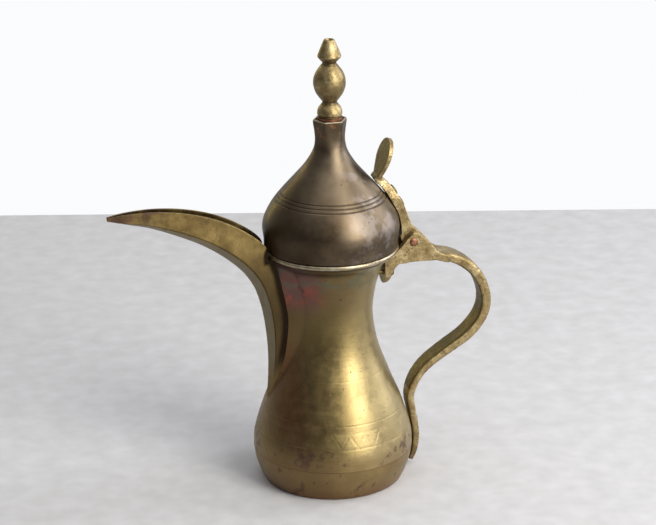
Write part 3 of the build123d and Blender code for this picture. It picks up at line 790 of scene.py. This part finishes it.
# %% Build the spout
SHEET = 1.1
RIDGE_SHARE = 0.25
SIDE_STEPS = 26
JOINT_WIDTH = 6.0
spout_slices = through([
    (-131.6, 171.4, -131.8, 173.6, 1.8, 1.5), (-121.0, 168.7, -121.5, 175.2, 3.2, 2.6),
    (-107.0, 165.2, -105.0, 175.8, 4.6, 3.6), (-91.4, 159.1, -87.0, 173.8, 5.8, 4.6),
    (-77.0, 152.2, -70.0, 169.2, 6.9, 5.6), (-64.2, 143.7, -55.0, 162.0, 7.9, 6.8),
    (-53.5, 134.0, -42.0, 152.0, 8.7, 8.2), (-46.8, 124.0, -32.0, 136.5, 9.0, 9.4),
    (-43.2, 113.8, -27.0, 120.5, 8.8, 10.0), (-41.0, 103.5, -25.0, 104.8, 8.3, 9.8),
    (-39.5, 91.0, -25.0, 90.5, 7.4, 9.0), (-38.9, 79.0, -27.0, 76.5, 5.9, 7.6),
    (-39.2, 66.0, -30.0, 63.0, 3.9, 5.4), (-40.2, 53.0, -34.0, 50.0, 1.6, 2.2)], 9)
LID_EDGE_RADIUS = 40.7
SUNK_IN_WALL = 0.35
SMALLEST_SHARE = 0.04
HALVINGS = 18


def spout_point(slice_values, share, side):
    """A point on a slice, from the keel at 0, over the ridge, to the rim at 1."""
    kx, kz, tx, tz, ridge_half, rim_half = slice_values
    x, z = kx + (tx - kx) * share, kz + (tz - kz) * share
    if share < RIDGE_SHARE:
        width = ridge_half * (share / RIDGE_SHARE) ** 0.9
    else:
        width = ridge_half + (rim_half - ridge_half) * (share - RIDGE_SHARE) / (1 - RIDGE_SHARE)
    return x, side * width, z


def is_outside(point):
    x, y, z = point
    r = math.hypot(x, y)
    if z > NOSE_TOP:
        return r > LID_EDGE_RADIUS
    if z < seam_z:
        return True
    return r > wall_radius(math.atan2(y, x), z) - SUNK_IN_WALL


def free_share(slice_values):
    """How far up a slice the sheet runs before it meets the wall or the lid."""
    low, high = 0.0, 1.0
    if is_outside(spout_point(slice_values, 1.0, 1)):
        return 1.0
    for step in range(HALVINGS):
        middle = (low + high) / 2
        if is_outside(spout_point(slice_values, middle, 1)):
            low = middle
        else:
            high = middle
    return max(low, SMALLEST_SHARE)


def spout_sheet_mesh():
    """The open sheet, with two marks on its points: how near the keel, and how near the soldered joint."""
    mesh_builder = bmesh.new()
    keel_mark = mesh_builder.verts.layers.float.new("keel")
    seam_mark = mesh_builder.verts.layers.float.new("seam")
    strips = []
    for values in spout_slices:
        top = free_share(values)
        shares = [top * (k / SIDE_STEPS) for k in range(SIDE_STEPS, 0, -1)]
        span = math.hypot(values[2] - values[0], values[3] - values[1])
        signed = [(s, -1) for s in shares] + [(0.0, 1)] + [(s, 1) for s in reversed(shares)]
        strip = []
        for share, side in signed:
            vertex = mesh_builder.verts.new([c * MM for c in spout_point(values, share, side)])
            vertex[keel_mark] = max(0.0, 1 - share / (2.0 * RIDGE_SHARE))
            vertex[seam_mark] = max(0.0, 1 - (top - share) * span / JOINT_WIDTH) if top < 0.999 else 0.0
            strip.append(vertex)
        strips.append(strip)
    for near, far in zip(strips, strips[1:]):
        for j in range(len(near) - 1):
            mesh_builder.faces.new((near[j], near[j + 1], far[j + 1], far[j]))
    mesh = bpy.data.meshes.new("spout_sheet")
    mesh_builder.to_mesh(mesh)
    mesh_builder.free()
    return mesh


def with_modifiers(mesh, steps):
    """Applies a list of (type, settings) modifiers and returns the plain mesh."""
    holder = bpy.data.objects.new("holder", mesh)
    bpy.context.scene.collection.objects.link(holder)
    for kind, settings in steps:
        modifier = holder.modifiers.new(kind.lower(), kind)
        for name, value in settings.items():
            setattr(modifier, name, value)
    result = bpy.data.meshes.new_from_object(holder.evaluated_get(bpy.context.evaluated_depsgraph_get()))
    bpy.data.objects.remove(holder)
    return result


sheet_mesh = with_modifiers(spout_sheet_mesh(), [
    ("SOLIDIFY", {"thickness": SHEET * MM, "offset": -1.0, "use_even_offset": False}),
    ("BEVEL", {"width": 0.25 * MM, "segments": 2, "angle_limit": math.radians(50)}),
])
finish_mesh("beak", sheet_mesh, "pot", ["spout"], FINISHES["spout_brass"])

# %% [markdown]
# ## The lid
# The dome is round low down and six-sided at the neck. The radius is the smaller of a round wall and six
# flats, blended softly, so the facets fade into the dome as hammered ones do. Three turned lines circle
# its shoulder as real grooves.

# %% Build the dome
DOME_WALL = 1.2
DOME_COLUMNS = 360
dome_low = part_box("lid_dome")[0].z / MM
dome_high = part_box("lid_dome")[1].z / MM
dome_line = through([(39.5, dome_low), (39.6, 151.7), (40.3, 157.7), (39.2, 163.7), (35.1, 171.7),
                     (29.0, 179.7), (21.9, 187.7), (15.1, 195.7), (10.3, 203.7), (9.0, 209.7),
                     (9.2, 215.7), (10.0, 221.0), (10.0, dome_high)], 10)
flat_line = through([(22, 197.0), (13.2, 202.0), (9.9, 206.0), (8.7, 209.0), (8.3, 212.0), (8.4, 216.0),
                     (8.9, 221.0), (8.9, dome_high)], 8)
RING_LINE_HALF = 0.42
RING_LINE_DEPTH = 0.30
FINE_ROWS = (174.6, 180.0)
EDGE_ROUND = 0.3


def dome_radius(angle, z, shrink=0.0):
    r = float(np.interp(z, dome_line[:, 1], dome_line[:, 0])) - shrink
    if z > flat_line[0, 1]:
        flat_distance = float(np.interp(z, flat_line[:, 1], flat_line[:, 0])) - shrink
        turn = (angle + math.pi / 6) % (math.pi / 3) - math.pi / 6
        side = flat_distance / math.cos(math.pi / 6 - abs(turn))
        soft = 0.35 + 1.1 * max(0.0, min(1.0, (216.0 - z) / 10.0))
        h = max(soft - abs(r - side), 0.0) / soft
        r = min(r, side) - h * h * soft * 0.25
    if shrink == 0.0:
        r -= sum(groove(z, line, RING_LINE_HALF, RING_LINE_DEPTH) for line in RING_LINES)
    return r


dome_z = sorted(set(np.round(np.concatenate([
    np.linspace(dome_low + EDGE_ROUND, dome_high - EDGE_ROUND, 96), np.arange(*FINE_ROWS, 0.18)]), 3)))
dome_rows = [ring_row(lambda a, z: dome_radius(a, z) - EDGE_ROUND, dome_low, DOME_COLUMNS)]
dome_rows += [ring_row(dome_radius, z, DOME_COLUMNS) for z in dome_z]
dome_rows += [ring_row(lambda a, z: dome_radius(a, z) - EDGE_ROUND, dome_high, DOME_COLUMNS)]
dome_rows += [ring_row(lambda a, z: dome_radius(a, z, DOME_WALL) + EDGE_ROUND / 2, dome_high,
                       DOME_COLUMNS)]
dome_rows += [ring_row(lambda a, z: dome_radius(a, z, DOME_WALL), z, DOME_COLUMNS)
              for z in np.linspace(dome_high - EDGE_ROUND, dome_low, 50)]
finish_mesh("onion_dome", rows_to_mesh("onion_dome", dome_rows, loop=True), "lid",
            ["lid_dome"], FINISHES["dome_bronze"], sharp=30)

# %% [markdown]
# ## The finial
# A turned knob: foot, neck, ball, neck and a small hollow cone. A lathe outline makes it, and a slight
# wobble keeps the old casting from looking machined.

# %% Turn the finial
finial_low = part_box("finial")[0].z / MM
top_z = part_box("finial")[1].z / MM
knob_line = through([(7.4, finial_low + 1.7), (7.35, 227.6), (6.7, 229.7), (5.3, 231.6), (4.4, 233.2),
                     (5.7, 235.2), (8.0, 238.6), (9.25, 242.2), (9.5, 245.0), (9.1, 248.0),
                     (7.6, 251.5), (5.3, 254.6), (4.15, 256.4), (5.5, 258.2), (6.9, 259.9), (6.75, 261.2),
                     (5.3, 264.9), (3.3, top_z - 0.3)], 7)
knob_outline = [(0, finial_low), (6.5, finial_low), (6.5, finial_low + 0.9)] + [tuple(p) for p in knob_line]
knob_outline += [(2.9, top_z), (2.3, top_z), (1.8, top_z - 1.6), (0, top_z - 2.0)]
knob_mesh = turned("knob", knob_outline, 120, False)
for vertex in knob_mesh.vertices:
    wobble = noise.noise(vertex.co / MM * 0.22) * 0.10 + noise.noise(vertex.co / MM * 0.9) * 0.05
    inward = Vector((vertex.co.x, vertex.co.y, 0))
    if inward.length > 2.4 * MM:
        vertex.co -= inward.normalized() * (0.10 + wobble) * MM
finish_mesh("knob", knob_mesh, "lid", ["finial"], FINISHES["finial_brass"])

# %% [markdown]
# ## The castings
# The handle and the lid's strap came out of sand moulds and were filed by hand, so nothing on them is
# crisp. A voxel remesh joins their parts into one skin, smoothing rounds the edges as filing did, and
# noise along the normals leaves the grain of the sand. A bevel would round single edges only.


# %% Soften a casting
def copy_of_node(node):
    """A merged copy of a node's mesh; the node itself is left alone."""
    mesh_builder = bmesh.new()
    mesh_builder.from_mesh(nodes[node].data)
    bmesh.ops.remove_doubles(mesh_builder, verts=mesh_builder.verts, dist=1e-6)
    return mesh_builder


def keep_side(mesh_builder, place, outward):
    """Cuts a copy by a plane, drops the side it faces, and caps the cut."""
    parts = list(mesh_builder.verts) + list(mesh_builder.edges) + list(mesh_builder.faces)
    cut = bmesh.ops.bisect_plane(mesh_builder, geom=parts, plane_co=[c * MM for c in place],
                                 plane_no=outward, clear_outer=True)
    edges = [e for e in cut["geom_cut"] if isinstance(e, bmesh.types.BMEdge)]
    bmesh.ops.holes_fill(mesh_builder, edges=edges, sides=0)


def cast_skin(mesh, voxel, smoothing, grain):
    mesh = with_modifiers(mesh, [
        ("REMESH", {"mode": "VOXEL", "voxel_size": voxel * MM}),
        ("SMOOTH", {"factor": 0.5, "iterations": smoothing}),
    ])
    moved = []
    for vertex in mesh.vertices:
        p = vertex.co / MM
        rough = noise.noise(p * 0.55) * 0.55 + noise.noise(p * 1.4) * 0.30
        pit = max(0.0, noise.noise(p * 0.9 + Vector((31, 7, 3))) - 0.38) * 1.6
        moved.append(vertex.co + vertex.normal * (rough - pit - 0.5) * grain * MM)
    for vertex, place in zip(mesh.vertices, moved):
        vertex.co = place
    return mesh


def mark_painted_shade(mesh, shade):
    """Marks how much painted shade each point gets, for faces turned away from the light."""
    mark = mesh.attributes.new("painted_shade", "FLOAT", "POINT")
    for vertex, item in zip(mesh.vertices, mark.data):
        item.value = min(1.0, max(0.0, shade(vertex.co / MM, vertex.normal)))
    return mesh


# %% [markdown]
# ## The handle
# One casting: a plate against the neck, two cheeks for the hinge, and an S-shaped strap down to the belly.
# The plate and cheeks hold the pin, so they are the frame's own. Only the strap is redrawn, because its
# section swells and thins all the way, which a row of squared ovals along a smooth line follows best.

# %% Cast the handle
strap_line = through([
    (62.0, 135.4, 5.2, 8.8), (71.6, 133.2, 5.8, 8.2), (79.6, 129.1, 6.3, 7.8), (86.9, 122.6, 6.4, 7.6),
    (91.5, 114.6, 6.4, 7.5), (93.7, 105.6, 6.4, 7.4), (92.7, 97.0, 6.4, 7.4), (88.6, 89.3, 6.4, 7.4),
    (81.9, 82.2, 6.3, 7.3), (73.8, 76.7, 5.9, 7.2), (65.6, 71.3, 5.6, 7.1), (58.3, 65.9, 5.2, 7.0),
    (52.6, 59.6, 5.0, 6.8), (48.8, 52.2, 4.9, 6.5), (47.3, 44.6, 4.8, 6.0), (48.7, 35.6, 4.7, 5.5),
    (50.2, 27.0, 4.7, 5.1), (50.9, 18.4, 4.6, 4.8), (49.9, 10.0, 4.2, 4.4), (47.9, 3.6, 3.2, 3.6)], 6)
SECTION_POINTS = 36


def strap_rows(line):
    rows = []
    middles = line[:, :2]
    for i, (x, z, thickness, half_width) in enumerate(line):
        ahead, behind = middles[min(i + 1, len(line) - 1)], middles[max(i - 1, 0)]
        run = math.hypot(*(ahead - behind))
        nx, nz = -(ahead[1] - behind[1]) / run, (ahead[0] - behind[0]) / run
        row = []
        for j in range(SECTION_POINTS):
            a = 2 * math.pi * j / SECTION_POINTS
            c, s = math.cos(a), math.sin(a)
            across = math.copysign(abs(c) ** 0.34, c) * half_width
            out = math.copysign(abs(s) ** 0.38, s) * thickness / 2
            row.append((x + nx * out, across, z + nz * out))
        rows.append(row)
    first, last = line[0], line[-1]
    return [[(first[0], 0, first[1])]] + rows + [[(last[0], 0, last[1] - 0.4)]]


handle_builder = copy_of_node("handle")
keep_side(handle_builder, (70, 0, 0), (1, 0, 0))
keep_side(handle_builder, (0, 0, 114), (0, 0, -1))
strap_mesh = rows_to_mesh("strap", strap_rows(strap_line))
handle_builder.from_mesh(strap_mesh)
handle_mesh = bpy.data.meshes.new("handle_parts")
handle_builder.to_mesh(handle_mesh)
handle_builder.free()


def inside_the_grip(p, normal):
    """Faces that look into the grip, or at the pot below it."""
    if abs(normal.y) > 0.75 or p.x < 46:
        return 0.0
    aim = Vector((68, 0, 100)) if p.z > 78 else Vector((30, 0, 90))
    return ((aim - p).normalized().dot(normal) - 0.15) / 0.3


# Faces that look into the grip, or at the pot below it, get painted shade.
handle_skin = mark_painted_shade(cast_skin(handle_mesh, 0.5, 3, 0.20), inside_the_grip)
finish_mesh("cast_handle", handle_skin, "pot", ["handle"], FINISHES["cast_brass"], sharp=80)

# %% [markdown]
# ## The strap and the thumb disc
# The lid is lifted by a disc at the end of its own cast strap. Its shape is right in the frame already, so
# the copy only gets the cast skin, finer than the handle's because the piece is smaller.

# %% Cast the strap and thumb disc
lever_builder = copy_of_node("lid_strap")
lever_mesh = bpy.data.meshes.new("lever_parts")
lever_builder.to_mesh(lever_mesh)
lever_builder.free()


def inside_of_the_disc(p, normal):
    """The disc's face that looks at the finial, and the strap's face that looks at the dome."""
    return (Vector((-0.92, 0, 0.38)).dot(normal) - 0.55) / 0.25


# The disc's face toward the finial and the strap's face toward the dome get painted shade.
lever_skin = mark_painted_shade(cast_skin(lever_mesh, 0.40, 3, 0.14), inside_of_the_disc)
finish_mesh("thumb_lever", lever_skin, "lid", ["lid_strap"], FINISHES["cast_brass"], sharp=80)

# %% [markdown]
# ## Rivets and the hinge pin
# Every rivet is the same thing at another place, and the hinge pin is a long one with both ends hammered
# over, so the tree of headed pins makes them all. Each body gets its own plain mesh, so that the lid's
# rivets swing with the lid.


# %% Set the rivets
# Painted shadow: how dark the rivets are marked all over.
RIVET_SHADE = 0.8


def tilted(degrees):
    return (math.cos(math.radians(degrees)), 0, math.sin(math.radians(degrees)))


def set_rivets(name, places, directions, head, height, shank, length, body, slot, node):
    mesh = grown(name, headed_pins, {
        "Head Radius": head * MM, "Head Height": height * MM, "Shank Radius": shank * MM,
        "Length": length * MM, "Metal": FINISHES[slot]}, point_mesh(name, places, directions))
    # Painted shadow: the whole rivet is marked dark.
    mark_painted_shade(mesh, lambda p, normal: RIVET_SHADE)
    finish_mesh(name, mesh, body, [node], FINISHES[slot], sharp=50)


PIN_HEAD = 0.9
OUTWARD = (1, 0, 0)
pin_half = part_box("hinge_pin")[1].y / MM - PIN_HEAD
set_rivets("strap_rivet_set", [(38.3, 0, 176.8), (42.6, 0, 169.2)], [tilted(32), tilted(27)], head=3.4,
           height=0.85, shank=1.7, length=8.2, body="lid", slot="cast_brass", node="strap_rivets")
set_rivets("foot_rivet_set", [(36.0, -4.6, 127.5), (36.0, 4.6, 127.5)], [OUTWARD] * 2, head=2.5,
           height=0.9, shank=1.4, length=10.0, body="pot", slot="collar_brass", node="foot_plate_rivets")
set_rivets("tail_rivet_set", [(52.4, 0, 29.0), (52.9, 0, 13.5)], [OUTWARD] * 2, head=1.9,
           height=0.35, shank=1.3, length=7.6, body="pot", slot="cast_brass", node="tail_rivets")
set_rivets("peened_pin", [(hinge[0] / MM, -pin_half, hinge[2] / MM)], [(0, -1, 0)], head=2.5,
           height=0.8, shank=1.6, length=2 * pin_half, body="pot", slot="copper", node="hinge_pin")

# %% [markdown]
# ## The pieces that keep their own shape
# The collar, cap, washer, stud and rove are already right in the frame, so they only take a finish.

# %% Finish the carried-over nodes
slot_of = {row["node"]: row["material_slot"] for row in frame["record"]["subparts"]}
for name in ("lid_collar", "neck_cap", "finial_washer", "finial_stud", "stud_rove"):
    nodes[name].data.materials.clear()
    nodes[name].data.materials.append(FINISHES[slot_of[name]])
    print(name, "takes", slot_of[name])

# %% [markdown]
# ## The floor
# Metal shows what it reflects, so the floor matters as much as the lights: a pale one lights the pot from
# below. A plane is enough. Its far edge lies square to the camera and makes the line of the background.

# %% Lay the floor
FLOOR_TONES = [(0.41, 0.405, 0.412), (0.44, 0.436, 0.446), (0.47, 0.466, 0.48)]


def stage_material():
    f = Finish("pale floor", FLOOR_TONES, rough=(0.6, 0.75), metallic=0.0, tone_scale=0.07)
    return f.done()


VIEW_AZIMUTH = math.radians(-13)
right = Vector((math.cos(VIEW_AZIMUTH), math.sin(VIEW_AZIMUTH), 0))
ahead = Vector((-math.sin(VIEW_AZIMUTH), math.cos(VIEW_AZIMUTH), 0))
up = Vector((0, 0, 1))
FLOOR_BEHIND = 0.485
FLOOR_REACH = 3.0
corners = [right * s * FLOOR_REACH + ahead * t for s, t in
           ((-1, -FLOOR_REACH), (1, -FLOOR_REACH), (1, FLOOR_BEHIND), (-1, FLOOR_BEHIND))]
floor_mesh = bpy.data.meshes.new("floor")
floor_mesh.from_pydata([c[:] for c in corners], [], [(0, 1, 2, 3)])
floor_mesh.materials.append(stage_material())
floor = bpy.data.objects.new("floor", floor_mesh)
bpy.context.scene.collection.objects.link(floor)
floor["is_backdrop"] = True
print("the floor ends", FLOOR_BEHIND, "m behind the pot")

# %% [markdown]
# ## The lights
# A tall softbox to the front right draws the broad highlight down the belly, and a second lights the right
# edge. One hangs overhead, and a narrow yellow one behind the left edge warms the lid's outline. Point
# lights would leave hard dots on polished metal, where a softbox leaves a long soft one.

# %% Hang the lights
POT_MIDDLE = Vector((0, 0, 0.13))


def softbox(name, azimuth, elevation, distance, width, height, power, colour=(1, 1, 1)):
    """A rectangular light aimed at the pot's middle. Azimuth is turned from the line of sight."""
    a = VIEW_AZIMUTH + math.radians(azimuth)
    e = math.radians(elevation)
    back = Vector((math.sin(a) * math.cos(e), -math.cos(a) * math.cos(e), math.sin(e)))
    data = bpy.data.lights.new(name, "AREA")
    data.shape = "RECTANGLE"
    data.size, data.size_y = width, height
    data.energy = power
    data.color = colour
    lamp = bpy.data.objects.new(name, data)
    lamp.rotation_mode = "QUATERNION"
    lamp.rotation_quaternion = (-back).to_track_quat("-Z", "Y")
    lamp.location = POT_MIDDLE + back * distance
    bpy.context.scene.collection.objects.link(lamp)


softbox("key", azimuth=46, elevation=30, distance=1.5, width=0.75, height=1.5, power=30,
        colour=(1, 0.97, 0.90))
softbox("side", azimuth=108, elevation=24, distance=1.6, width=0.7, height=1.2, power=14,
        colour=(0.94, 0.95, 1))
softbox("top", azimuth=0, elevation=84, distance=1.6, width=1.4, height=1.4, power=9)
softbox("left", azimuth=-140, elevation=14, distance=1.8, width=0.14, height=1.0, power=2.4,
        colour=(1, 0.80, 0.18))
print(len(bpy.data.lights), "lights hung")

# %% [markdown]
# ## The room
# The room lights the rest. It is pale to the right, behind and overhead, and dark to the front left, which
# keeps that half of the pot dark. The camera itself sees plain white instead, by way of Light Path, so the
# background doesn't have to be the light.

# %% Light the room
PALE_SIDE = (0.62, 0.38, 0.68)
ROOM_RANGE = (("From Min", -0.75), ("From Max", 0.85), ("To Min", 0.10), ("To Max", 0.80))
ROOM_COLOUR = (0.94, 0.96, 1.0, 1)
BACKGROUND_COLOUR = (0.965, 0.97, 0.98, 1)
world = bpy.data.worlds.new("studio")
bpy.context.scene.world = world
world.use_nodes = True
sky = world.node_tree
sky.nodes.clear()
direction = sky.nodes.new("ShaderNodeTexCoord")
facing = sky.nodes.new("ShaderNodeVectorMath")
facing.operation = "DOT_PRODUCT"
facing.inputs[1].default_value = PALE_SIDE
room = sky.nodes.new("ShaderNodeMapRange")
for label, number in ROOM_RANGE:
    room.inputs[label].default_value = number
glow = sky.nodes.new("ShaderNodeBackground")
seen_white = sky.nodes.new("ShaderNodeBackground")
choose = sky.nodes.new("ShaderNodeMixShader")
path = sky.nodes.new("ShaderNodeLightPath")
world_out = sky.nodes.new("ShaderNodeOutputWorld")
sky.links.new(direction.outputs["Generated"], facing.inputs[0])
sky.links.new(facing.outputs["Value"], room.inputs["Value"])
sky.links.new(room.outputs[0], glow.inputs["Strength"])
glow.inputs["Color"].default_value = ROOM_COLOUR
seen_white.inputs["Color"].default_value = BACKGROUND_COLOUR
seen_white.inputs["Strength"].default_value = 1.0
sky.links.new(path.outputs["Is Camera Ray"], choose.inputs[0])
sky.links.new(glow.outputs[0], choose.inputs[1])
sky.links.new(seen_white.outputs[0], choose.inputs[2])
sky.links.new(choose.outputs[0], world_out.inputs[0])
bpy.context.scene.view_settings.view_transform = "Standard"

# %% [markdown]
# ## The camera
# It looks down a little from a good way off, through a long lens, so that near and far parts keep their
# sizes. Its axes are built one by one, since a Track To constraint couldn't give the slight roll.

# %% Place the camera
PITCH = math.radians(20.01)
ROLL = math.radians(0.57)
SENSOR = 36.0
LENS = 138.8
CAMERA_RIGHT = -0.00185
CAMERA_AHEAD = -1.4
CAMERA_UP = 0.6443
eye = right * CAMERA_RIGHT + ahead * CAMERA_AHEAD + up * CAMERA_UP
sight = ahead * math.cos(PITCH) - up * math.sin(PITCH)
level_up = ahead * math.sin(PITCH) + up * math.cos(PITCH)
cam_right = right * math.cos(ROLL) - level_up * math.sin(ROLL)
cam_up = level_up * math.cos(ROLL) + right * math.sin(ROLL)
lens = bpy.data.cameras.new("camera")
lens.sensor_width = SENSOR
lens.lens = LENS
camera = bpy.data.objects.new("camera", lens)
camera.matrix_world = Matrix.Translation(eye) @ Matrix((cam_right, cam_up, -sight)).transposed().to_4x4()
bpy.context.scene.collection.objects.link(camera)
bpy.context.scene.camera = camera
print("the camera is", round(eye.length, 2), "m from the pot's foot")

# %% [markdown]
# ## Measure and finish
# The finished model's box is measured and printed, axis by axis, in millimetres.

# %% Measure the size
looks_box = [list(corner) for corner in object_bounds()]
for axis, low, high in zip("XYZ", looks_box[0], looks_box[1]):
    print(axis, round(low / MM, 2), "to", round(high / MM, 2), "mm")
